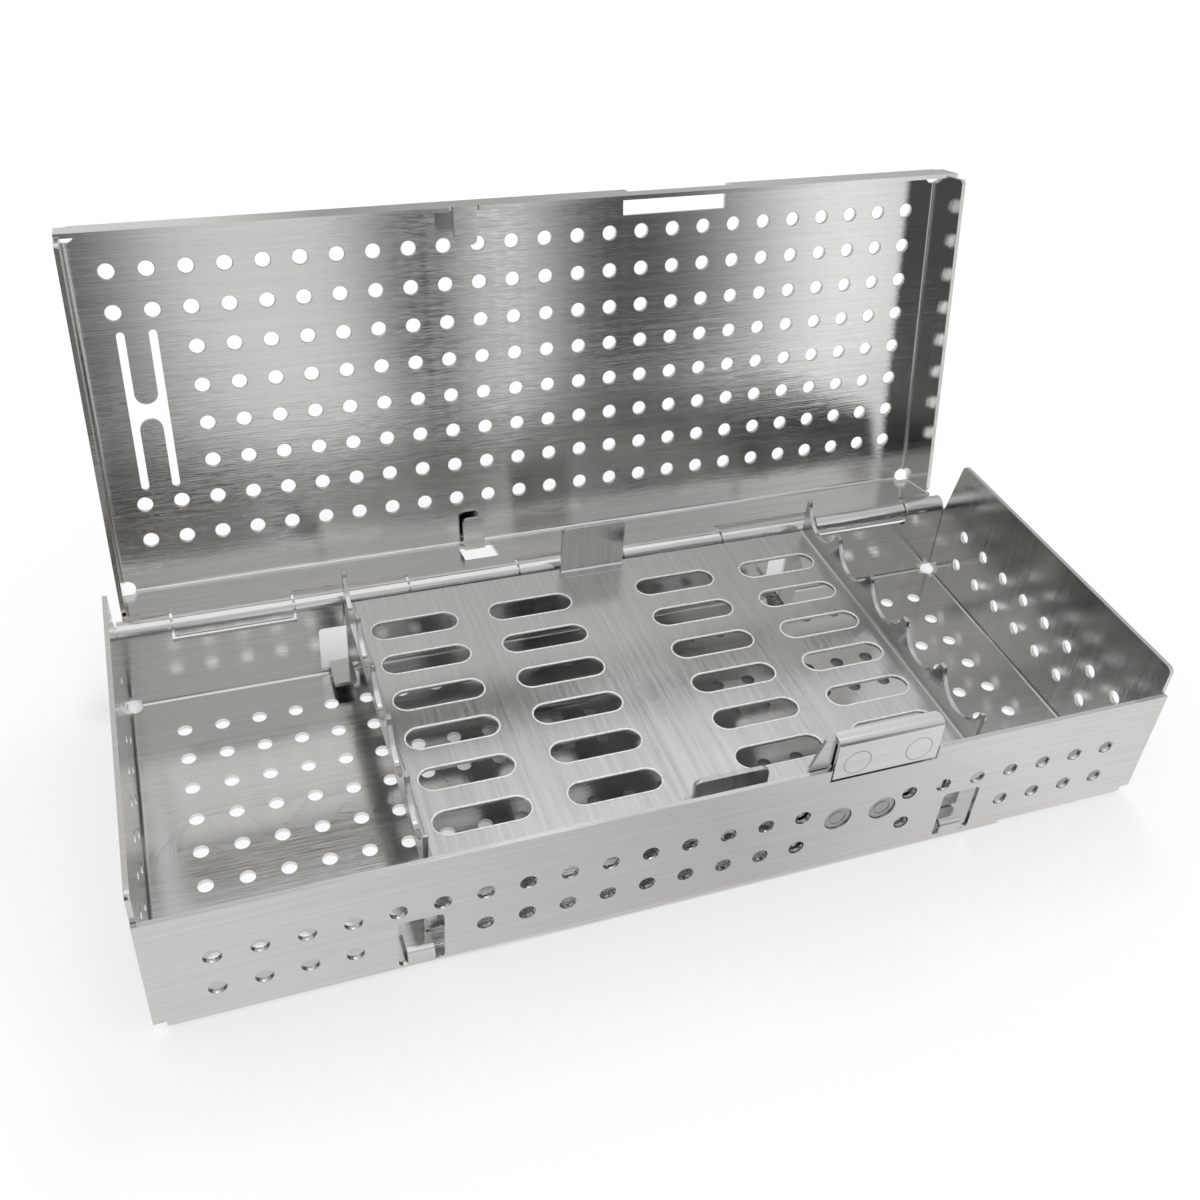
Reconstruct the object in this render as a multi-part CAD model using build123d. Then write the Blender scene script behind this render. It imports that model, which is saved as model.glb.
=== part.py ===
from build123d import *
import os

os.makedirs("parts", exist_ok=True)

# Millimetres. X runs along the length, Y from front to back, Z up.
# The origin is the middle of the underside of the tray.

# Tray
tray_length = 198.0
tray_depth = 81.0
front_height = 28.0
end_height = 34.4
sheet = 0.9
inner_bend = 0.7
corner_gap = 0.12
corner_notch_height = 2.4
end_slant_start = 18.5
end_rear_slant = 3.2
corner_round = 1.4
relief_radius = 1.7
edge_round = 0.25

# Perforation
floor_hole_radius = 1.5
wall_hole_radius = 1.6
end_hole_radius = 1.5
hole_end_margin = 11.025
hole_columns = 24
hole_rows = 8
row_pitch = 8.4
wall_row_heights = (8.3, 16.6)
end_row_heights = (9.4, 17.8)
hole_margin = 0.9

# Hinge
hinge_height = 19.1
pin_radius = 1.55
pin_play = 0.05
knuckle_span = 196.4
end_knuckle = 11.0
middle_knuckles = 7
knuckle_gap = 0.5
knuckle_clearance = 0.35
pin_overhang = 0.5

# Lid, sized as it lies closed
open_angle = 101.7
lid_top = 33.8
lid_side_gap = 1.3
lid_front_gap = 1.4
side_flange = 12.0
front_flange = 8.6
side_flange_back_gap = 1.2
flange_round = 1.0
lid_hole_radius = 1.55
lid_columns = 25
lid_rows = 8
lid_pitch = 7.4
lid_row_pitch = 8.18
lid_first_row = 9.2
window_centre_x = 30.0
window_width = 24.2
window_depth = 5.7
window_drop = 4.0
lid_tab_x = -19.2
lid_tab_width = 4.8
lid_tab_length = 7.7
lid_tab_round = 1.2
rear_tab_drop = 2.6
rear_cut_width = 7.8
slit_width = 0.7
slit_depth = 1.6

# H-shaped cut-out in the lid
tongue_x = -85.1
slot_spacing = 6.2
slot_width = 1.6
slot_length = 33.8
slot_start = 21.3
bridge_width = 3.3

# Rack
rack_x = 3.1
rack_width = 110.6
rack_front_gap = 3.1
rack_depth = 74.7
rack_sheet = 1.0
rack_top = 20.9
rack_fold_land = 0.4
comb_height = 8.7
notch_count = 5
notch_depth = 5.6
horn_width = 1.5
rack_slot_length = 18.5
rack_slot_width = 5.8
rack_slot_pitch = 10.86
rack_slot_rows = 6
rack_slot_shift = -0.75
outer_slot_x = 42.3
inner_slot_x = 16.9
foot_width = 4.2
foot_inset = 0.2
seat_gap = 0.3
rear_handle_x = 3.65
rear_handle_width = 14.7
rear_handle_top = 32.4
front_handle_x = 5.0
front_handle_width = 14.8
front_handle_top = 28.0

# Lanced shelves that carry the rack
shelf_inset = 1.1
shelf_shift = 0.6
shelf_width = 4.8
shelf_reach = 8.0
shelf_top = 4.4
shelf_window_width = 8.2
shelf_window_top = 13.6
shelf_window_foot = 1.7
shelf_window_round = 0.9

# Latch
latch_left = 23.5
latch_right = 45.6
latch_top = 35.0
latch_side_gap = 0.35
lip_reach = 3.1
lip_round = 1.2
flex_height = 25.0
flex_gap = 0.5
leaf_sheet = 0.7
leaf_gap = 0.35
leaf_left = 19.0
wing_top_x = 21.2
leaf_foot = 5.6
disc_hole_radius = 2.9
disc_play = 0.12
disc_x = 31.8
disc_spacing = 9.6
disc_height = 14.0
disc_recess = 0.35
disc_ring_radius = 1.5
disc_ring_width = 0.25
disc_ring_depth = 0.12
shank_radius = 1.5
shank_play = 0.05
tail_radius = 2.1
tail_height = 0.6
stud_radius = 2.7
stud_play = 0.1
stud_left_x = 28.1
stud_right_x = 41.1
stud_height = 29.0

outer_bend = inner_bend + sheet
rack_bend = inner_bend + rack_sheet
half_length = tray_length / 2
front_y = -tray_depth / 2
back_y = tray_depth / 2
inner_front_y = front_y + sheet
inner_back_y = back_y - sheet
knuckle_bore = pin_radius + pin_play
knuckle_radius = knuckle_bore + sheet
knuckle_reach = ((knuckle_radius + knuckle_clearance) ** 2 - (knuckle_radius - sheet) ** 2) ** 0.5
hinge_y = inner_back_y + knuckle_radius
lid_half = half_length - sheet - lid_side_gap
lid_front = inner_front_y + lid_front_gap
lid_under = lid_top - sheet
rack_under = rack_top - rack_sheet
rack_fold = rack_bend + rack_fold_land
rack_front = inner_front_y + rack_front_gap
rack_back = rack_front + rack_depth
hole_pitch = (tray_length - 2 * hole_end_margin) / (hole_columns - 1)
shelf_x = rack_width / 2 - shelf_inset
past = 1.0


def block(x_range, y_range, z_range):
    """A box between three pairs of limits."""
    sizes = [high - low for low, high in (x_range, y_range, z_range)]
    middle = [(low + high) / 2 for low, high in (x_range, y_range, z_range)]
    return Pos(*middle) * Box(*sizes)


def spread(count, pitch, middle=0.0):
    """Evenly spaced places about a middle."""
    return [middle + (index - (count - 1) / 2) * pitch for index in range(count)]


def bent_profile(points, thickness, side, radius):
    """The section of a folded sheet, from its outer line."""
    line = FilletPolyline(*points, radius=radius)
    return make_face(offset(line, amount=thickness, side=side))


def run_x(profile, low, high):
    """A section drawn in Y and Z, run along X."""
    return extrude(Pos(low, 0, 0) * (Plane.YZ * profile), amount=high - low)


def run_y(profile, low, high):
    """A section drawn in X and Z, run along Y."""
    return extrude(Pos(0, high, 0) * (Plane.XZ * profile), amount=high - low)


def run_z(profile, low, high):
    """An outline drawn in X and Y, run up."""
    return extrude(Pos(0, 0, low) * profile, amount=high - low)


def discs(places, radius):
    """Circles at a list of places, as one sketch."""
    return Sketch() + [Pos(*place) * Circle(radius) for place in places]


def mirrored(shape):
    """The shape and its left-hand twin."""
    return shape + mirror(shape, Plane.YZ)


def knuckle_limits(index):
    """Where one knuckle starts and ends along the pin."""
    pitch = (knuckle_span - 2 * end_knuckle) / middle_knuckles
    cuts = [-knuckle_span / 2]
    cuts += [-knuckle_span / 2 + end_knuckle + step * pitch for step in range(middle_knuckles + 1)]
    cuts += [knuckle_span / 2]
    return cuts[index], cuts[index + 1]


def with_knuckles(shell, own, others, relief):
    """Rolls the sheet's own knuckles and cuts room for the other sheet's."""
    tube = Circle(knuckle_radius) - Circle(knuckle_bore)
    for index in others:
        low, high = knuckle_limits(index)
        low_cut = low - knuckle_gap / 2
        high_cut = high + knuckle_gap / 2
        shell -= block((low_cut, high_cut), (inner_back_y - past, back_y + past), relief)
    for index in own:
        low, high = knuckle_limits(index)
        inset = knuckle_gap / 2
        shell += run_x(Pos(hinge_y, hinge_height) * tube, low + inset, high - inset)
    return shell


def shelf():
    """One lanced shelf at the front wall, with the piece of wall that it grows from."""
    foot = (front_y, shelf_window_foot)
    bend = (front_y, shelf_top)
    tip = (inner_front_y + shelf_reach, shelf_top)
    profile = bent_profile([foot, bend, tip], sheet, Side.RIGHT, outer_bend)
    return run_x(profile, shelf_x - shelf_width / 2, shelf_x + shelf_width / 2)


def shelf_window():
    """The opening left in the front wall around one shelf."""
    height = shelf_window_top - shelf_window_foot
    outline = RectangleRounded(shelf_window_width, height, shelf_window_round)
    middle = (shelf_window_top + shelf_window_foot) / 2
    return run_y(Pos(shelf_x, middle) * outline, front_y - past, inner_front_y + past)


def front_wall_holes():
    """Two rows of holes, left out at the shelf windows and at the rivets."""
    places = []
    for row, height in enumerate(wall_row_heights):
        for x in spread(hole_columns, hole_pitch):
            reach = wall_hole_radius + hole_margin
            near_window = abs(abs(x - shelf_shift) - shelf_x) < shelf_window_width / 2 + reach
            near_rivet = abs(x - disc_x) < disc_spacing / 2 + disc_hole_radius
            if near_rivet or (row == 0 and near_window):
                continue
            places.append((x, height))
    return run_y(discs(places, wall_hole_radius), front_y - past, inner_front_y + past)


def end_wall():
    """The right end wall with its bend, up to the seams with the front and rear walls."""
    start = half_length - 2 * outer_bend
    points = [(start, 0), (half_length, 0), (half_length, end_height)]
    profile = bent_profile(points, sheet, Side.LEFT, outer_bend)
    low = inner_front_y + corner_gap
    high = inner_back_y - corner_gap
    wall = run_y(profile, low, high)
    rear_line = [(high, -past), (high, end_slant_start), (high - end_rear_slant, end_height)]
    outline = make_face(Polyline((low, -past), *rear_line, (low, end_height), close=True))
    top_corners = outline.vertices().sort_by(Axis.Y)[-2:]
    wall &= run_x(fillet(top_corners, corner_round), start - past, half_length + past)
    places = [(y, z) for z in end_row_heights for y in spread(hole_rows, row_pitch)]
    return wall - run_x(discs(places, end_hole_radius), start, half_length + past)


def corner_relief(half_x, near_y, far_y, low, high):
    """The notch and round relief hole at each corner where two bends meet."""
    cutter = Part()
    for y, inward in ((near_y, 1), (far_y, -1)):
        bend_x = half_x - outer_bend
        bend_y = y + inward * outer_bend
        y_range = sorted((y - inward * past, bend_y))
        cutter += block((bend_x, half_x + past), y_range, (low, high))
        cutter += run_z(Pos(bend_x, bend_y) * Circle(relief_radius), low, high)
    return mirrored(cutter)


def base_tray():
    """The tray: one folded and perforated sheet."""
    line = [(front_y, front_height), (front_y, 0), (back_y, 0), (back_y, hinge_height)]
    profile = bent_profile(line, sheet, Side.LEFT, outer_bend)
    tray = run_x(profile, -half_length, half_length)
    end = end_wall()
    tray -= mirrored(block((half_length - outer_bend, half_length + past),
                           (inner_front_y, inner_back_y), (-past, end_height)))
    tray += mirrored(end)
    tray -= corner_relief(half_length, front_y, back_y, -past, corner_notch_height)
    columns = spread(hole_columns, hole_pitch)
    floor_places = [(x, y) for x in columns for y in spread(hole_rows, row_pitch)]
    tray -= run_z(discs(floor_places, floor_hole_radius), -past, sheet + past)
    tray -= front_wall_holes()
    rivet_places = [(x, disc_height) for x in spread(2, disc_spacing, disc_x)]
    tray -= run_y(discs(rivet_places, disc_hole_radius), front_y - past, inner_front_y + past)
    tray -= block((latch_left - latch_side_gap, latch_right + latch_side_gap),
                  (front_y - past, inner_front_y + past), (flex_height, front_height + past))
    windows = Pos(shelf_shift, 0) * mirrored(shelf_window())
    tray -= windows + mirror(windows, Plane.XZ)
    relief = (hinge_height - knuckle_reach, hinge_height + past)
    tray = with_knuckles(tray, range(0, middle_knuckles + 2, 2), range(1, middle_knuckles + 2, 2), relief)
    shelves = Pos(shelf_shift, 0) * mirrored(shelf())
    return tray + shelves + mirror(shelves, Plane.XZ)


def tongue_cutout():
    """The H-shaped opening that leaves two round-ended tongues."""
    tongue = slot_spacing - slot_width
    middle_y = lid_front + slot_start + slot_length / 2
    cut = Sketch()
    for x in spread(2, slot_spacing):
        cut += Pos(x, 0) * SlotOverall(slot_length, slot_width, rotation=90)
    cut += Rectangle(slot_spacing, bridge_width + tongue)
    for y in spread(2, bridge_width + tongue):
        cut -= Pos(0, y) * Circle(tongue / 2)
    return run_z(Pos(tongue_x, middle_y) * cut, lid_under - past, lid_top + past)


def lid_holes():
    """The rows of holes in the lid, left out where the H-shaped opening is."""
    places = []
    cut_low = lid_front + slot_start - lid_hole_radius
    cut_high = cut_low + slot_length + 2 * lid_hole_radius
    for x in spread(lid_columns, lid_pitch):
        for row in range(lid_rows):
            y = lid_front + lid_first_row + row * lid_row_pitch
            if abs(x - tongue_x) < slot_spacing and cut_low < y < cut_high:
                continue
            places.append((x, y))
    return run_z(discs(places, lid_hole_radius), lid_under - past, lid_top + past)


def lid_tab(root, inward, top):
    """A retaining tab that lies parallel to the lid's panel."""
    outline = RectangleRounded(lid_tab_width, 2 * lid_tab_length, lid_tab_round)
    flap = run_z(Pos(lid_tab_x, root) * outline, top - sheet, top)
    far = root + inward * lid_tab_length
    keep = sorted((root, far + inward * past))
    span = (lid_tab_x - lid_tab_width, lid_tab_x + lid_tab_width)
    return flap & block(span, keep, (top - sheet, top))


def lid():
    """The lid: one folded and perforated sheet, made closed and then swung open."""
    line = [(lid_front, lid_top - front_flange), (lid_front, lid_top)]
    line += [(back_y, lid_top), (back_y, hinge_height)]
    shell = run_x(bent_profile(line, sheet, Side.RIGHT, outer_bend), -lid_half, lid_half)
    start = lid_half - 2 * outer_bend
    side_line = [(start, lid_top), (lid_half, lid_top), (lid_half, lid_top - side_flange)]
    side = bent_profile(side_line, sheet, Side.RIGHT, outer_bend)
    low = lid_front + sheet + corner_gap
    high = back_y - side_flange_back_gap
    shell -= mirrored(block((lid_half - outer_bend, lid_half + past), (low - corner_gap, inner_back_y),
                            (lid_under - outer_bend, lid_top + past)))
    flange = run_y(side, low, high)
    flange = fillet(flange.edges().filter_by(Axis.X).group_by(Axis.Z)[0], flange_round)
    shell += mirrored(flange)
    shell -= corner_relief(lid_half, lid_front, back_y, lid_top - corner_notch_height, lid_top + past)
    shell -= lid_holes() + tongue_cutout()
    window_x = (window_centre_x - window_width / 2, window_centre_x + window_width / 2)
    window_y = (lid_front - past, lid_front + window_depth)
    shell -= block(window_x, window_y, (lid_top - window_drop, lid_top + past))
    front_tab_top = lid_top - front_flange + sheet
    for side_sign in (-1, 1):
        slit_x = lid_tab_x + side_sign * (lid_tab_width + slit_width) / 2
        shell -= block((slit_x - slit_width / 2, slit_x + slit_width / 2),
                       (lid_front - past, lid_front + sheet + past),
                       (lid_top - front_flange - past, lid_top - front_flange + slit_depth))
    shell += lid_tab(lid_front, 1, front_tab_top)
    rear_top = lid_top - rear_tab_drop
    cut_x = (lid_tab_x - rear_cut_width / 2, lid_tab_x + rear_cut_width / 2)
    shell -= block(cut_x, (inner_back_y - past, back_y + past), (rear_top - lid_tab_length, rear_top))
    shell += lid_tab(back_y, -1, rear_top)
    relief = (hinge_height - past, hinge_height + knuckle_reach)
    shell = with_knuckles(shell, range(1, middle_knuckles + 2, 2), range(0, middle_knuckles + 2, 2), relief)
    return shell.rotate(Axis((0, hinge_y, hinge_height), (1, 0, 0)), -open_angle)


def hinge_pin():
    """The rod through all the knuckles."""
    reach = knuckle_span / 2 + pin_overhang
    rod = run_x(Pos(hinge_y, hinge_height) * Circle(pin_radius), -reach, reach)
    return chamfer(rod.edges().filter_by(GeomType.CIRCLE), edge_round)


def comb_notches():
    """The round notches that part the horns of a comb."""
    pitch = rack_depth / notch_count
    half_mouth = (pitch - horn_width) / 2
    radius = (half_mouth ** 2 + notch_depth ** 2) / (2 * notch_depth)
    centre_z = rack_top + comb_height - notch_depth + radius
    places = [(y, centre_z) for y in spread(notch_count, pitch, (rack_front + rack_back) / 2)]
    return run_x(discs(places, radius), -rack_width / 2 - past, rack_width / 2 + past)


def rack_combs():
    """The two notched sides that are folded up from the plate."""
    half = rack_width / 2
    line = [(half - rack_fold, rack_under), (half, rack_under), (half, rack_top + comb_height)]
    profile = bent_profile(line, rack_sheet, Side.LEFT, rack_bend)
    comb = run_y(profile, rack_front, rack_back) - comb_notches()
    return Compound(children=[Pos(rack_x, 0) * comb, Pos(rack_x, 0) * mirror(comb, Plane.YZ)])


def rack_slots():
    """Four columns of long slots."""
    outline = SlotOverall(rack_slot_length, rack_slot_width)
    middle = (rack_front + rack_back) / 2 + rack_slot_shift
    cut = Sketch()
    for x in (-outer_slot_x, -inner_slot_x, inner_slot_x, outer_slot_x):
        for y in spread(rack_slot_rows, rack_slot_pitch, middle):
            cut += Pos(rack_x + x, y) * outline
    return run_z(cut, rack_under - past, rack_top + past)


def tab_seat(middle_x, width, edge, inward):
    """The piece of the plate's edge that one finger tab takes up."""
    y_range = sorted((edge - inward * past, edge + inward * 2 * rack_bend))
    return block((middle_x - width / 2, middle_x + width / 2), y_range, (rack_under - past, rack_top + past))


def rack_plate():
    """The flat slotted plate between the combs."""
    half = rack_width / 2 - rack_fold
    plate = block((rack_x - half, rack_x + half), (rack_front, rack_back), (rack_under, rack_top))
    plate -= tab_seat(rear_handle_x, rear_handle_width, rack_back, -1)
    plate -= tab_seat(front_handle_x, front_handle_width, rack_front, 1)
    return plate - rack_slots()


def rack_feet():
    """Four legs, folded down at the corners, that stand on the tray's shelves."""
    high = rack_x + rack_width / 2 - foot_inset
    left = 2 * rack_x - high
    legs = []
    for y_range in ((rack_front, rack_front + rack_sheet), (rack_back - rack_sheet, rack_back)):
        for x_range in ((left, left + foot_width), (high - foot_width, high)):
            legs.append(block(x_range, y_range, (shelf_top + seat_gap, rack_under)))
    return Compound(children=legs)


def finger_tab(middle_x, width, edge, inward, top):
    """A tab with rounded corners that is folded up at one edge of the plate."""
    start = edge + inward * 2 * rack_bend
    line = [(start, rack_under), (edge, rack_under), (edge, top)]
    side = Side.LEFT if inward < 0 else Side.RIGHT
    low = middle_x - width / 2
    tab = run_x(bent_profile(line, rack_sheet, side, rack_bend), low, low + width)
    outline = RectangleRounded(width, 2 * (top - rack_under), corner_round)
    near, far = sorted((edge - inward * past, start + inward * past))
    return tab & run_y(Pos(middle_x, rack_under) * outline, near, far)


def latch_plate():
    """The raised plate and the lip that holds the closed lid."""
    line = [(front_y, flex_height + flex_gap), (front_y, latch_top), (front_y + lip_reach, latch_top)]
    profile = bent_profile(line, sheet, Side.RIGHT, inner_bend + sheet)
    plate = run_x(profile, latch_left, latch_right)
    lip_edges = plate.edges().filter_by(Axis.Z).group_by(Axis.Y)[-1]
    plate = fillet(lip_edges, lip_round)
    places = [(x, stud_height) for x in (stud_left_x, stud_right_x)]
    return plate - run_y(discs(places, stud_radius + stud_play), front_y - past, inner_front_y + leaf_gap / 2)


def leaf_range():
    """The leaf's front and back."""
    return inner_front_y + leaf_gap, inner_front_y + leaf_gap + leaf_sheet


def latch_spring():
    """The leaf behind the plate, with the slanted wing that stands out beside it."""
    low = flex_height + flex_gap
    high = latch_top - sheet - seat_gap
    right = latch_right - lip_round
    wing_right = latch_left - latch_side_gap
    wing_foot = front_height + leaf_gap
    points = [(latch_left, low), (right, low), (right, high), (wing_right, high), (wing_right, latch_top)]
    points += [(wing_top_x, latch_top), (leaf_left, wing_foot), (latch_left, wing_foot)]
    return run_y(make_face(Polyline(*points, close=True)), *leaf_range())


def latch_root():
    """The lower end of the leaf, riveted behind the front wall."""
    right = latch_right - lip_round
    beside = latch_left - latch_side_gap
    front, back = leaf_range()
    points = [(leaf_left, leaf_foot), (right, leaf_foot), (right, flex_height), (beside, flex_height)]
    points += [(beside, front_height), (leaf_left, front_height)]
    leaf = run_y(make_face(Polyline(*points, close=True)), front, back)
    places = [(x, disc_height) for x in spread(2, disc_spacing, disc_x)]
    return leaf - run_y(discs(places, shank_radius + shank_play), front - past, back + past)


def latch_rivet(x):
    """One rivet: ringed head in the wall, shank through the leaf, tail behind it."""
    front, back = leaf_range()
    face = front_y + disc_recess
    spot = Pos(x, disc_height)
    head = run_y(spot * Circle(disc_hole_radius - disc_play), face, front)
    ring = Circle(disc_ring_radius + disc_ring_width) - Circle(disc_ring_radius)
    head -= run_y(spot * ring, face - past, face + disc_ring_depth)
    shank = run_y(spot * Circle(shank_radius), front, back)
    tail = run_y(spot * Circle(tail_radius), back, back + tail_height)
    return head + shank + tail


def latch_stud(x):
    """One weld stud, flush with the plate and seated on the leaf."""
    front, back = leaf_range()
    return run_y(Pos(x, stud_height) * Circle(stud_radius), front_y, front)


def write(name, shape):
    """Writes one node to its own file."""
    shape.label = name
    export_step(shape, f"parts/{name}.step")


write("base_tray", base_tray())
write("lid", lid())
write("hinge_pin", hinge_pin())
write("rack_plate", rack_plate())
write("rack_combs", rack_combs())
write("rack_feet", rack_feet())
write("rack_rear_handle", finger_tab(rear_handle_x, rear_handle_width, rack_back, -1, rear_handle_top))
write("rack_front_handle", finger_tab(front_handle_x, front_handle_width, rack_front, 1, front_handle_top))
write("latch_plate", latch_plate())
write("latch_spring", latch_spring())
write("latch_root", latch_root())
write("latch_rivets", Compound(children=[latch_rivet(x) for x in spread(2, disc_spacing, disc_x)]))
write("latch_studs", Compound(children=[latch_stud(x) for x in (stud_left_x, stud_right_x)]))
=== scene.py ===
import math

import bmesh
import bpy
from mathutils import Matrix, Vector


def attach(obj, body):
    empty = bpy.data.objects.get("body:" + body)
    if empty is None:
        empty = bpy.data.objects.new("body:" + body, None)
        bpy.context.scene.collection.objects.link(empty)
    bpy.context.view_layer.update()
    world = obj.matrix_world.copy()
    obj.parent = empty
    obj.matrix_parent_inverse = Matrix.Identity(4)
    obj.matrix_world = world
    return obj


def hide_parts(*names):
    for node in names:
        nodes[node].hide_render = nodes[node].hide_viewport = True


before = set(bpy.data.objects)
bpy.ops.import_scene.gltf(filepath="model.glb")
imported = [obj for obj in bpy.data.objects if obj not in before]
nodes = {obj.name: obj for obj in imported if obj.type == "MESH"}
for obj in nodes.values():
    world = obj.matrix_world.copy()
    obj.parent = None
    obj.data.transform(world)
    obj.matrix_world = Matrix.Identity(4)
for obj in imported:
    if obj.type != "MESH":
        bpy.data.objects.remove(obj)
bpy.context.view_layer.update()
print("frame loaded:", len(nodes), "nodes")


class Wire:  # one socket, with the usual signs for shader maths
    def __init__(self, graph, socket):
        self.graph, self.socket = graph, socket

    def maths(self, operation, *others):
        return self.graph.maths(operation, self, *others)

    def __add__(self, other): return self.graph.maths("ADD", self, other)
    def __radd__(self, other): return self.graph.maths("ADD", other, self)
    def __sub__(self, other): return self.graph.maths("SUBTRACT", self, other)
    def __rsub__(self, other): return self.graph.maths("SUBTRACT", other, self)
    def __mul__(self, other): return self.graph.maths("MULTIPLY", self, other)
    def __rmul__(self, other): return self.graph.maths("MULTIPLY", other, self)


class Graph:  # the node tree of a material, of the world or of a modifier
    def __init__(self, tree):
        self.tree = tree
        tree.nodes.clear()

    def add(self, kind, settings=None, out=0, **sockets):  # sockets by name with _ for a space, or as i0, i1
        node = self.tree.nodes.new(kind)
        for name, value in (settings or {}).items():
            if name == "stops":
                ramp = node.color_ramp
                while len(ramp.elements) < len(value):
                    ramp.elements.new(0.5)
                for element, (place, level) in zip(ramp.elements, value):
                    element.position = place
                    element.color = (level, level, level, 1)
            else:
                setattr(node, name, value)
        for name, value in sockets.items():
            key = int(name[1:]) if name[1:].isdigit() else name.replace("_", " ")
            self.feed(node.inputs[key], value)
        return Wire(self, node.outputs[out]) if len(node.outputs) else node

    def feed(self, socket, value):
        if isinstance(value, Wire):
            self.tree.links.new(value.socket, socket)
        else:
            socket.default_value = value

    def maths(self, operation, *values):
        numbered = {f"i{n}": value for n, value in enumerate(values)}
        return self.add("ShaderNodeMath", {"operation": operation}, **numbered)

    def stretched(self, vector, scale):
        return self.add("ShaderNodeVectorMath", {"operation": "MULTIPLY"}, i0=vector, i1=scale)

    def split(self, vector):  # its three numbers
        parts = self.add("ShaderNodeSeparateXYZ", Vector=vector)
        return [Wire(self, parts.socket.node.outputs[n]) for n in range(3)]

    def grey(self, level):
        return self.add("ShaderNodeCombineColor", Red=level, Green=level, Blue=level)

    def blend(self, factor, first, second):  # a mix of two colours
        return self.add("ShaderNodeMix", {"data_type": "RGBA"}, out=2, i0=factor, i6=first, i7=second)

    def mixed(self, factor, first, second):  # a mix of two shaders
        return self.add("ShaderNodeMixShader", i0=factor, i1=first, i2=second)

    def ramp(self, factor, *stops):
        return self.add("ShaderNodeValToRGB", {"stops": stops}, Fac=factor)

    def noise(self, vector, scale, detail, roughness):
        return self.add("ShaderNodeTexNoise", {"noise_dimensions": "3D"}, Vector=vector, Scale=scale,
                        Detail=detail, Roughness=roughness)

    def range(self, value, low, high, newLow, newHigh):
        return self.add("ShaderNodeMapRange", {"clamp": True}, Value=value, From_Min=low, From_Max=high,
                        To_Min=newLow, To_Max=newHigh)

    def skin(self, **sockets):  # a metal or half-metal surface, straight to the output
        surface = self.add("ShaderNodeBsdfPrincipled", **sockets)
        self.add("ShaderNodeOutputMaterial", Surface=surface)


def newGraph(name):
    material = bpy.data.materials.new(name)
    material.use_nodes = True
    return material, Graph(material.node_tree)


steels = {  # where they differ from the plain brushed steel of the lid
    "traySteel": {"gloss": 0.1, "depth": 0.12},
    "lidSteel": {},
    "rackSteel": {"tint": (0.62, 0.612, 0.597), "gloss": 0.13, "strokeLength": 90, "depth": 0.3,
                  "streaks": 0.035},
    "latchSteel": {"tint": (0.78, 0.772, 0.758), "gloss": 0.16, "depth": 0.2},
    "springSteel": {"tint": (0.68, 0.675, 0.665), "gloss": 0.14},
    "pinSteel": {"tint": (0.68, 0.675, 0.665), "gloss": 0.16},
    "rivetSteel": {"tint": (0.45, 0.445, 0.44), "gloss": 0.34, "turned": True},
}
rivets = {"middleX": 0.0318, "halfSpacing": 0.0048, "height": 0.0140, "ringsPerMetre": 2200}
brushing = {"strokeHeight": 0.00012, "cloudScale": 22.0}


def brushedSteel(name, tint=(0.7, 0.691, 0.674), gloss=0.055, strokes=5000, strokeLength=80, depth=0.17,
                 streaks=0.03, turned=False):  # strokes across the brushing and along it are per metre
    material, g = newGraph(name)
    flow = g.add("ShaderNodeUVMap", {"uv_map": "brushing"})  # along the strokes, across them
    fine = g.noise(g.stretched(flow, (strokeLength, strokes, 1)), 1.0, 2.0, 0.55)
    broad = g.noise(g.stretched(flow, (strokeLength * 0.3, strokes * 0.2, 1)), 1.0, 3.0, 0.55)
    here = g.add("ShaderNodeTexCoord", out=3)
    cloud = g.noise(here, brushing["cloudScale"], 3.0, 0.55)  # faint handling marks
    tone = g.range(broad, 0.3, 0.7, -1.0, 1.0) * streaks + g.range(fine, 0.3, 0.7, -0.6, 0.6) * streaks
    light = g.add("ShaderNodeCombineColor", Red=tint[0] + tone, Green=tint[1] + tone, Blue=tint[2] + tone)
    rough = gloss + g.range(broad, 0.3, 0.7, -0.02, 0.04) + g.range(cloud, 0.35, 0.7, -0.02, 0.05)
    height = fine + broad * 0.5
    if turned:
        height = height * 0.2 + turnedRings(g) * 1.2
    bump = g.add("ShaderNodeBump", Strength=depth, Distance=brushing["strokeHeight"], Height=height)
    g.skin(Base_Color=light, Metallic=1.0, Roughness=rough, Normal=bump)
    return material


def turnedRings(g):  # the turning marks on both rivet heads
    x, z = g.split(g.add("ShaderNodeTexCoord", out=3))[::2]
    side = (x - rivets["middleX"]).maths("ABSOLUTE") - rivets["halfSpacing"]
    up = z - rivets["height"]
    reach = (side * side + up * up).maths("SQRT")
    return (reach * rivets["ringsPerMetre"] * 6.2832).maths("SINE") * 0.5 + 0.5


def paintedRim(name, level, metal):  # the rim of a punched hole: torn grain, at a level that is painted light, dark for painted shade and pale for a painted highlight
    material, g = newGraph(name)
    grain = g.noise(g.add("ShaderNodeTexCoord", out=3), 2400.0, 2.0, 0.6)
    shade = level * g.range(grain, 0.3, 0.7, 0.8, 1.2)
    light = g.add("ShaderNodeCombineColor", Red=shade, Green=shade, Blue=shade * 0.97)
    g.skin(Base_Color=light, Metallic=metal, Roughness=g.range(grain, 0.3, 0.7, 0.3, 0.45))
    return material


steel = {name: brushedSteel(name, **facts) for name, facts in steels.items()}
# painted shade: near-black metal on the walls and rims of the tray's and lid's holes, standing in for their
# shaded walls
paintedShadeRim = paintedRim("paintedShadeRim", 0.12, 1.0)
# painted highlight: a pale, half-metal rim round the rack's slots and on their beads
paintedHighlightRim = paintedRim("paintedHighlightRim", 0.92, 0.3)
print("materials made")


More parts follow.
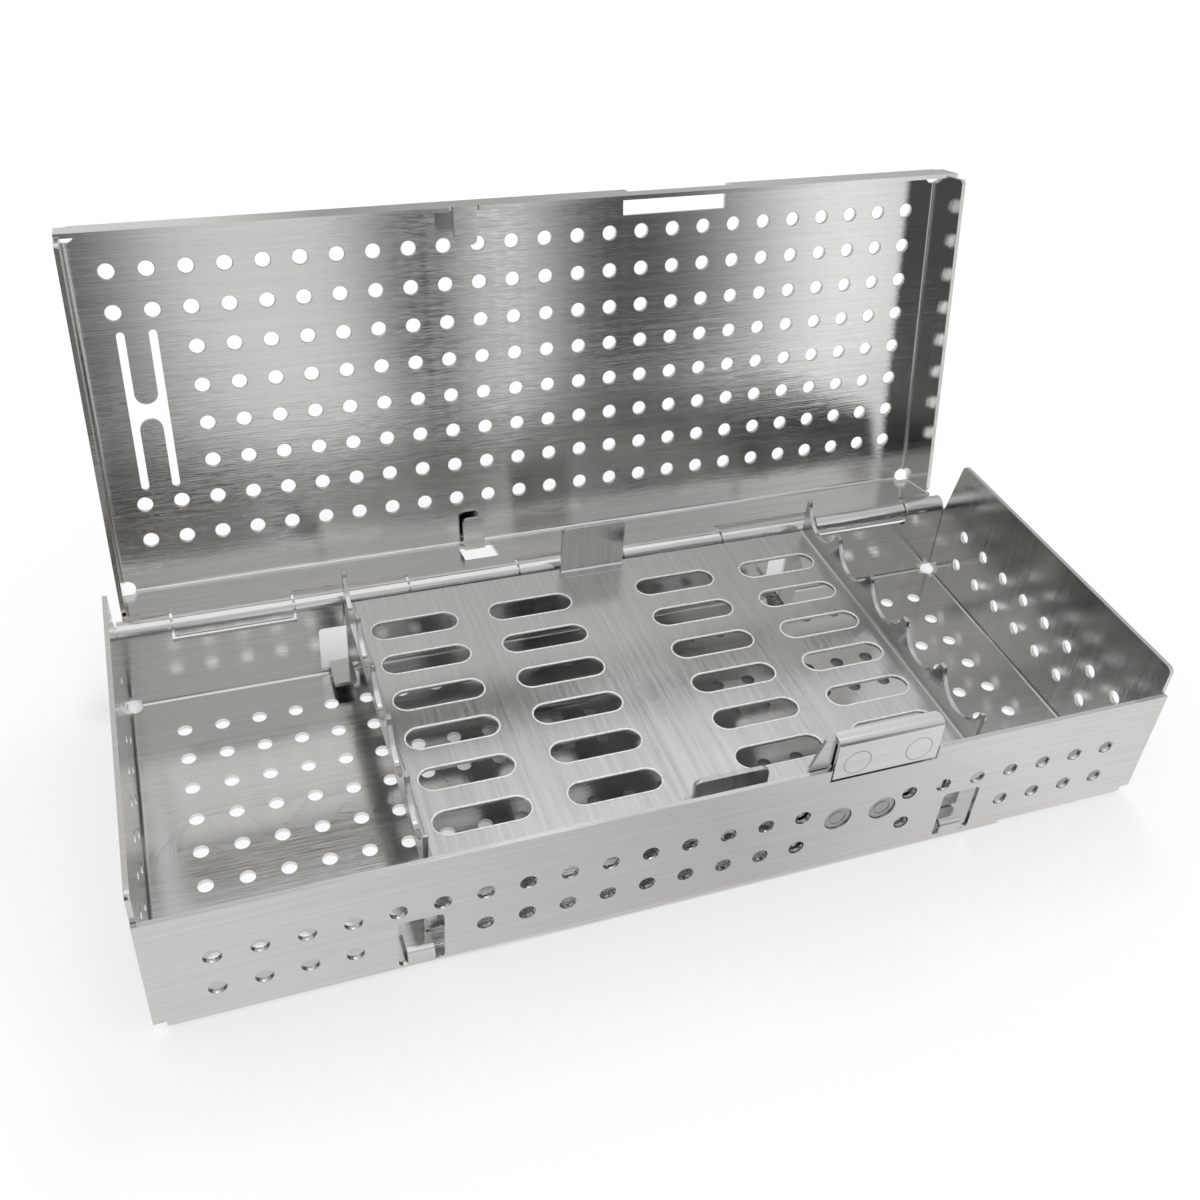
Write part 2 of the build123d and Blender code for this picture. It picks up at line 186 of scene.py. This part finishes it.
def brushUv(mesh, along):  # the sheet laid flat: distance along and across the brushing
    layer = mesh.uv_layers.new(name="brushing")
    for face in mesh.polygons:
        n = face.normal
        for corner in face.loop_indices:
            x, y, z = mesh.vertices[mesh.loops[corner].vertex_index].co
            if along == "x":
                layer.data[corner].uv = (abs(x) + z, abs(y)) if abs(n.x) > 0.75 else (x, abs(y) + z)
            elif along == "y":
                layer.data[corner].uv = (abs(y) + z, x) if abs(n.y) > 0.75 else (y, x + z)
            else:
                layer.data[corner].uv = (z + y, x)


edges = {  # angles in degrees, sizes in metres
    "patchAngle": 50, "sharpAngle": 40, "flatAngle": 0.4,
    "closedLean": 0.15, "openLean": 0.97, "largestHole": 0.022, "smallPatch": 0.008,
    "weld": 2e-6, "roundSteps": 2,
}


def smoothPatches(work):  # the faces between the sharp edges, patch by patch
    bend = math.radians(edges["patchAngle"])
    patches, seen = [], set()
    for start in work.faces:
        if start in seen:
            continue
        seen.add(start)
        patch, queue = [], [start]
        while queue:
            face = queue.pop()
            patch.append(face)
            for edge in face.edges:
                if len(edge.link_faces) == 2 and edge.calc_face_angle(0) < bend:
                    for other in edge.link_faces:
                        if other not in seen:
                            seen.add(other)
                            queue.append(other)
        patches.append(patch)
    return patches


def patchFacts(patch):  # lowest and highest corner, size, and lean: 0 where it closes round, 1 where flat
    corners = [v.co for face in patch for v in face.verts]
    low, high = (Vector([pick(c[k] for c in corners) for k in range(3)]) for pick in (min, max))
    area = sum(face.calc_area() for face in patch)
    lean = sum((face.normal * face.calc_area() for face in patch), Vector()).length / max(area, 1e-12)
    return low, high, (high - low).length, lean


def sortEdges(work, largestHole):  # rims of holes, plain sheet edges, and edges too tangled to round
    rims, tangled = set(), set()
    for patch in smoothPatches(work):
        span, lean = patchFacts(patch)[2:]
        if span < largestHole and lean < edges["closedLean"]:
            rims.update(edge for face in patch for edge in face.edges)
        elif span < edges["smallPatch"] and lean < edges["openLean"]:
            tangled.update(edge for face in patch for edge in face.edges)
    steep = math.radians(edges["sharpAngle"])
    sharp = [e for e in work.edges if len(e.link_faces) == 2 and e.calc_face_angle(0) > steep]
    rims = [e for e in sharp if e in rims and e not in tangled]
    plain = [e for e in sharp if e not in rims and e not in tangled]
    return rims, plain, [e for e in sharp if e in tangled]


holeGrids = {  # how many holes, how far apart, and the middle, in metres
    "trayAlong": (24, 0.1759500 / 23, 0.0), "trayAcross": (8, 0.0084, 0.0),
    "lidAlong": (25, 0.0074, 0.0), "lidAcross": (8, 0.00818, 0.0),
    "slotsAcross": (6, 0.01086, 0.0001),
}
wallRows = (0.0083, 0.0094, 0.0166, 0.0178)  # heights of the holes in the tray's walls
slotColumns = {"middle": 0.0031, "offsets": (-0.0423, -0.0169, 0.0169, 0.0423)}
lidTurn = {"hinge": (0.0, 0.0421, 0.0191), "degrees": 101.7, "middleHole": -0.00037, "top": 0.033}


def places(name):
    count, pitch, middle = holeGrids[name]
    return [middle + (k - (count - 1) / 2) * pitch for k in range(count)]


def lidPlane(y):  # a plane across the closed lid, swung open with it
    swing = Matrix.Rotation(-math.radians(lidTurn["degrees"]), 3, "X")
    hinge = Vector(lidTurn["hinge"])
    return hinge + swing @ (Vector((0, y, lidTurn["top"])) - hinge), swing @ Vector((0, 1, 0))


cuts = {
    "base_tray": [((x, 0, 0), (1, 0, 0)) for x in places("trayAlong")]
    + [((0, y, 0), (0, 1, 0)) for y in places("trayAcross")]
    + [((0, 0, z), (0, 0, 1)) for z in wallRows],
    "lid": [((x, 0, 0), (1, 0, 0)) for x in places("lidAlong")]
    + [lidPlane(lidTurn["middleHole"] + y) for y in places("lidAcross")],
    "rack_plate": [((slotColumns["middle"] + x, 0, 0), (1, 0, 0)) for x in slotColumns["offsets"]]
    + [((0, y, 0), (0, 1, 0)) for y in places("slotsAcross")],
}


def weldedCopy(nodeName):
    work = bmesh.new()
    work.from_mesh(nodes[nodeName].data)
    bmesh.ops.remove_doubles(work, verts=work.verts, dist=edges["weld"])
    return work


def cutThroughHoles(work, nodeName):  # through the middles of the holes, so that no face has a hole in it
    for place, normal in cuts.get(nodeName, []):
        cut = bmesh.ops.bisect_plane(work, geom=work.verts[:] + work.edges[:] + work.faces[:], dist=1e-6,
                                     plane_co=place, plane_no=normal)
        for piece in cut["geom_cut"]:
            if isinstance(piece, bmesh.types.BMEdge):
                piece.seam = True
    bmesh.ops.dissolve_limit(work, angle_limit=math.radians(edges["flatAngle"]), verts=work.verts,
                             edges=work.edges, delimit={"SEAM"})


def roundOff(work, geom, size, slot):
    bmesh.ops.bevel(work, geom=geom, offset=size, segments=edges["roundSteps"], profile=0.5, affect="EDGES",
                    clamp_overlap=True, material=slot)


def finished(piece):  # the piece with its modifier made part of its mesh
    bpy.context.view_layer.update()
    done = bpy.data.meshes.new_from_object(piece.evaluated_get(bpy.context.evaluated_depsgraph_get()))
    piece.modifiers.clear()
    piece.data = done
    done.materials.clear()
    return done


def newPiece(name, mesh):
    piece = bpy.data.objects.new(name, mesh)
    bpy.context.scene.collection.objects.link(piece)
    return piece


def refined(nodeName, along, material, softEdge, slotName, body, rimMaterial=None, rimSize=None):
    work = weldedCopy(nodeName)
    cutThroughHoles(work, nodeName)
    for face in work.faces:
        face.smooth = True
        face.material_index = 0
    rims, plain, tangled = sortEdges(work, edges["largestHole"] if rimMaterial else 0.0)
    for edge in tangled:
        edge.smooth = False
    if rims:
        roundOff(work, rims, rimSize, 1)
    roundOff(work, [e for e in plain if e.is_valid], softEdge, -1)
    mesh = nodes[nodeName].data.copy()
    mesh.name = nodeName + "Skin"
    work.to_mesh(mesh)
    work.free()
    piece = newPiece(nodeName + "Skin", mesh)
    even = piece.modifiers.new("evenShade", "WEIGHTED_NORMAL")  # flat sheet shades flat, bends round
    even.mode = "FACE_AREA"
    even.weight = 90
    even.keep_sharp = True
    done = finished(piece)
    done.materials.append(material)
    if rimMaterial:
        done.materials.append(rimMaterial)
    brushUv(done, along)
    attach(piece, body)
    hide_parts(nodeName)
    print(nodeName, "skin:", len(done.polygons), "faces,", len(rims), "rim edges,", len(tangled), "sharp")


pieces = {  # softEdge is how round the sheet's edges are, rimSize how round the rims of its holes are
    "base_tray": dict(along="x", material=steel["traySteel"], softEdge=0.00010,
                      slotName="tray_steel", body="tray", rimMaterial=paintedShadeRim, rimSize=0.00012),
    "lid": dict(along="x", material=steel["lidSteel"], softEdge=0.00010,
                slotName="lid_steel", body="lid", rimMaterial=paintedShadeRim, rimSize=0.00014),
    "hinge_pin": dict(along="x", material=steel["pinSteel"], softEdge=0.00003,
                      slotName="pin_steel", body="tray"),
    "rack_plate": dict(along="y", material=steel["rackSteel"], softEdge=0.00010,
                       slotName="rack_steel", body="rack", rimMaterial=paintedHighlightRim, rimSize=0.00025),
    "rack_combs": dict(along="y", material=steel["rackSteel"], softEdge=0.00008,
                       slotName="rack_steel", body="rack"),
    "rack_feet": dict(along="z", material=steel["rackSteel"], softEdge=0.00006,
                      slotName="rack_steel", body="rack"),
    "rack_rear_handle": dict(along="z", material=steel["rackSteel"], softEdge=0.00010,
                             slotName="handle_steel", body="rack"),
    "rack_front_handle": dict(along="z", material=steel["rackSteel"], softEdge=0.00008,
                              slotName="handle_steel", body="rack"),
    "latch_plate": dict(along="x", material=steel["latchSteel"], softEdge=0.00010,
                        slotName="latch_steel", body="latch"),
    "latch_spring": dict(along="x", material=steel["springSteel"], softEdge=0.00006,
                         slotName="spring_steel", body="latch"),
    "latch_root": dict(along="x", material=steel["springSteel"], softEdge=0.00006,
                       slotName="spring_steel", body="tray"),
    "latch_rivets": dict(along="x", material=steel["rivetSteel"], softEdge=0.00006,
                         slotName="rivet_steel", body="tray"),
    "latch_studs": dict(along="x", material=steel["latchSteel"], softEdge=0.00006,
                        slotName="rivet_steel", body="latch"),
}
for nodeName, facts in pieces.items():
    refined(nodeName, **facts)

slotRims = {
    "slotLength": 0.0185, "slotWidth": 0.0058, "beadRadius": 0.0002, "sink": 0.00012,
    "bendSteps": 9, "beadSteps": 8, "match": 0.0003, "weld": 1e-6,
}


def slotMiddles():  # the middle of each slot at the plate's top, read from the plate itself
    work = weldedCopy("rack_plate")
    middles = []
    for patch in smoothPatches(work):
        low, high, span, lean = patchFacts(patch)
        if abs(high.x - low.x - slotRims["slotLength"]) < slotRims["match"] and lean < edges["closedLean"]:
            middles.append(((low.x + high.x) / 2, (low.y + high.y) / 2, high.z - slotRims["sink"]))
    work.free()
    return sorted(middles)


def beadTree(material):  # a rounded bead along the rim of a slot, at each point of the carrying mesh
    tree = bpy.data.node_groups.new("slotBeads", "GeometryNodeTree")
    tree.interface.new_socket("Points", in_out="INPUT", socket_type="NodeSocketGeometry")
    sizes = ("slotLength", "slotWidth", "beadRadius")
    for name in sizes:
        tree.interface.new_socket(name, in_out="INPUT", socket_type="NodeSocketFloat")
    tree.interface.new_socket("Beads", in_out="OUTPUT", socket_type="NodeSocketGeometry")
    g = Graph(tree)
    points = g.add("NodeGroupInput")
    length, width, radius = (Wire(g, points.socket.node.outputs[name]) for name in sizes)
    outline = g.add("GeometryNodeCurvePrimitiveQuadrilateral", Width=length, Height=width)
    outline = g.add("GeometryNodeFilletCurve", {"mode": "POLY"}, Curve=outline, Radius=width * 0.499,
                    Count=slotRims["bendSteps"], Limit_Radius=True)
    section = g.add("GeometryNodeCurvePrimitiveCircle", Resolution=slotRims["beadSteps"], Radius=radius)
    bead = g.add("GeometryNodeCurveToMesh", Curve=outline, Profile_Curve=section)
    beads = g.add("GeometryNodeInstanceOnPoints", Points=points, Instance=bead)
    beads = g.add("GeometryNodeRealizeInstances", Geometry=beads)
    g.add("NodeGroupOutput", Beads=g.add("GeometryNodeSetMaterial", Geometry=beads, Material=material))
    return tree


def makeSlotBeads(material):
    mesh = bpy.data.meshes.new("slotBeads")
    mesh.from_pydata(slotMiddles(), [], [])
    beads = newPiece("slotBeads", mesh)
    grown = beads.modifiers.new("slotBeads", "NODES")
    grown.node_group = beadTree(material)
    for item in grown.node_group.interface.items_tree:
        if item.in_out == "INPUT" and item.name in slotRims:
            grown[item.identifier] = slotRims[item.name]
    done = finished(beads)
    work = bmesh.new()
    work.from_mesh(done)
    bmesh.ops.remove_doubles(work, verts=work.verts, dist=slotRims["weld"])
    bmesh.ops.recalc_face_normals(work, faces=work.faces)
    for face in work.faces:
        face.smooth = True
    work.to_mesh(done)
    work.free()
    done.materials.append(material)
    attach(beads, "rack")
    print("slot beads:", len(done.polygons), "faces on", len(mesh.vertices), "slots")


# the beads carry the painted highlight rim
makeSlotBeads(paintedHighlightRim)

floorLook = {  # zones are left, right, front, back and how softly they fade, in metres
    "size": 6.0, "openGlow": 0.53, "white": 0.98,
    # painted light: under the tray the floor glows nearly white, so its holes show white where the floor
    # lies in the tray's shade
    "under": (-0.0945, 0.0945, -0.0360, 0.0380, 0.0005), "paintedLightUnder": 0.93,
    # painted shade: under the rack the floor is dark grey with little glow, fading in from the left
    "rack": (-0.052, 0.0665, -0.0390, 0.0395, 0.0015), "rackFade": (-0.052, -0.024),
    "rackGlow": 0.04, "rackPaintedShade": 0.2,
    # painted shade: behind the hinge the floor glows less, so the shade under the open lid falls deeper
    "behind": (-0.105, 0.105, 0.041, 0.067, 0.006), "behindGlow": 0.08,
    # painted reflection: to the metal, the floor in front of the tray glows at set levels across it, dimmer
    # in the middle
    "nearFrom": (-0.041, -0.0405), "nearAcross": 0.12,
    "paintedNearReflection": ((0.15, 0.8), (0.55, 0.6), (0.85, 0.86)),
    "bandsFrom": (0.16, 0.26),
}
tentLook = {  # panels by the degrees round the tray, 0 in front and 90 at the right
    "radius": 0.42, "height": 0.75, "strength": 1.5, "upper": 0.66, "upperFrom": (0.18, 0.34),
    "panels": [(-180, 0.4), (-172, 0.75), (-130, 0.7), (-100, 0.45), (-60, 0.2), (-22, 0.1), (-15, 0.17),
               (-9.5, 0.75), (-6, 0.82), (2, 0.82), (4.6, 0.72), (7, 0.36), (8.6, 0.03), (11.4, 0.03),
               (13.2, 0.6), (15.6, 1.05), (18.2, 0.75), (20.9, 0.25), (23.5, 0.1), (27.5, 0.09), (31, 0.2),
               (34, 0.35), (36, 0.53), (38, 0.75), (40.2, 1.0), (42.4, 1.12), (45, 1.1), (48, 0.85),
               (60, 0.6), (110, 0.4), (150, 0.55), (180, 0.4)],
}
skyLook = {"back": 0.8, "overhead": 1.1, "overheadFrom": (0.8, 0.93)}


def tentLight(g, x, y, z):  # soft light and dark panels, as the metal mirrors them, with even light above
    turn = x.maths("ARCTAN2", 0.0 - y) * (180 / math.pi)
    stops = [((degrees + 180) / 360, level / tentLook["strength"]) for degrees, level in tentLook["panels"]]
    even = (tentLook["upper"] / tentLook["strength"],) * 3 + (1,)
    panels = g.ramp(g.range(turn, -180, 180, 0.0, 1.0), *stops)
    shade = g.blend(g.range(z, *tentLook["upperFrom"], 0.0, 1.0), panels, even)
    return g.add("ShaderNodeEmission", Color=shade, Strength=tentLook["strength"])


def zone(g, x, y, left, right, front, back, soft):  # 1 inside the box, fading to 0 round it
    return (g.range(x, left - soft, left, 0.0, 1.0) * g.range(x, right, right + soft, 1.0, 0.0)
            * g.range(y, front - soft, front, 0.0, 1.0) * g.range(y, back, back + soft, 1.0, 0.0))


def paleSheet(g, glow, white=floorLook["white"]):  # paper: what it doesn't glow it takes from the lamps
    tone = white - glow
    matt = g.add("ShaderNodeBsdfDiffuse", Color=(tone, tone, tone, 1))
    shine = g.add("ShaderNodeEmission", Color=(1, 1, 1, 1), Strength=glow)
    return g.add("ShaderNodeAddShader", i0=matt, i1=shine)


def makeFloor():
    look = floorLook
    mesh = bpy.data.meshes.new("floor")
    half = look["size"] / 2
    corners = [(-half, -half, 0), (half, -half, 0), (half, half, 0), (-half, half, 0)]
    mesh.from_pydata(corners, [], [(0, 1, 2, 3)])
    floor = newPiece("floor", mesh)
    material, g = newGraph("paleFloor")
    x, y, z = g.split(g.add("ShaderNodeTexCoord", out=3))
    # painted light: the floor under the tray glows
    under = zone(g, x, y, *look["under"])
    # painted shade: dark floor under the rack
    shaded = g.range(x, *look["rackFade"], 0.0, 1.0) * zone(g, x, y, *look["rack"])
    # painted shade: less glow behind the hinge
    behind = zone(g, x, y, *look["behind"])
    plain = g.mixed(behind, paleSheet(g, look["openGlow"]), paleSheet(g, look["behindGlow"]))
    plain = g.mixed(under, plain, paleSheet(g, look["paintedLightUnder"]))
    plain = g.mixed(shaded, plain, paleSheet(g, look["rackGlow"], look["rackPaintedShade"]))
    # painted reflection: in front of the tray the metal sees set levels, not the lit floor
    glossy = g.add("ShaderNodeLightPath", out=3)
    near = g.ramp(g.range(x, -look["nearAcross"], look["nearAcross"], 0.0, 1.0), *look["paintedNearReflection"])
    near = g.add("ShaderNodeEmission", Color=near, Strength=1.0)
    plain = g.mixed(glossy * g.range(y, *look["nearFrom"], 1.0, 0.0), plain, near)
    reach = (x * x + y * y).maths("SQRT")
    mirrored = glossy * g.range(reach, *look["bandsFrom"], 0.0, 1.0)
    g.add("ShaderNodeOutputMaterial", Surface=g.mixed(mirrored, plain, tentLight(g, x, y, z)))
    mesh.materials.append(material)


def makeTent():  # a light tent that only the metal sees
    radius, height = tentLook["radius"], tentLook["height"]
    work = bmesh.new()
    bmesh.ops.create_cone(work, cap_ends=False, segments=96, radius1=radius, radius2=radius, depth=height)
    bmesh.ops.translate(work, verts=work.verts, vec=(0, 0, height / 2))
    mesh = bpy.data.meshes.new("tent")
    work.to_mesh(mesh)
    work.free()
    tent = newPiece("tent", mesh)
    material, g = newGraph("tentCloth")
    x, y, z = g.split(g.add("ShaderNodeTexCoord", out=3))
    g.add("ShaderNodeOutputMaterial", Surface=tentLight(g, x, y, z))
    mesh.materials.append(material)
    tent.visible_camera = tent.visible_diffuse = tent.visible_shadow = False
    tent.visible_transmission = tent.visible_volume_scatter = False


def makeWorld():
    world = bpy.data.worlds.new("studio")
    bpy.context.scene.world = world
    world.use_nodes = True
    g = Graph(world.node_tree)
    z = g.split(g.add("ShaderNodeTexCoord", out=0))[2]
    level = g.range(z, *skyLook["overheadFrom"], skyLook["back"], skyLook["overhead"])
    glossy = g.add("ShaderNodeLightPath", out=3)
    seen = 1.0 - glossy * (1.0 - level)  # white to the eye, this level to the metal
    g.add("ShaderNodeOutputWorld", Surface=g.add("ShaderNodeBackground", Color=g.grey(seen), Strength=1.0))


backLamp = {"place": (0.35, 0.75, 1.1), "aim": (0, 0, 0), "size": 0.5, "power": 2.5}


def makeLamp(name, place, aim, size, power):
    light = bpy.data.lights.new(name, "AREA")
    light.shape = "DISK"
    light.size = size
    light.energy = power
    lamp = newPiece(name, light)
    facing = (Vector(place) - Vector(aim)).to_track_quat("Z", "Y").to_matrix().to_4x4()
    lamp.matrix_world = Matrix.Translation(place) @ facing


makeFloor()
makeTent()
makeWorld()
makeLamp("backSoft", **backLamp)
print("studio lit")

view = {
    "place": (-0.08238, -0.17764, 0.19756),
    "turn": (2.2, -0.3366, 0.261),  # rotation vector from the room to the lens: right, down, forward
    "filmWidth": 36,
    "focal": 1286.6 / 1200,  # in frame widths
    "shiftY": (555.1 - 600) / 1200,
    "nearest": 0.01, "farthest": 20,
}


def makeCamera():
    data = bpy.data.cameras.new("camera")
    data.sensor_width = view["filmWidth"]
    data.lens = view["focal"] * view["filmWidth"]
    data.shift_y = view["shiftY"]
    data.clip_start = view["nearest"]
    data.clip_end = view["farthest"]
    camera = newPiece("camera", data)
    turn = Vector(view["turn"])
    room = Matrix.Rotation(turn.length, 3, turn.normalized())  # rows are the lens's right, down, forward
    axes = Matrix((room[0], -room[1], -room[2])).transposed()
    camera.matrix_world = Matrix.Translation(view["place"]) @ axes.to_4x4()
    bpy.context.scene.camera = camera


makeCamera()
bpy.context.scene.view_settings.view_transform = "Standard"

print("scene ready")
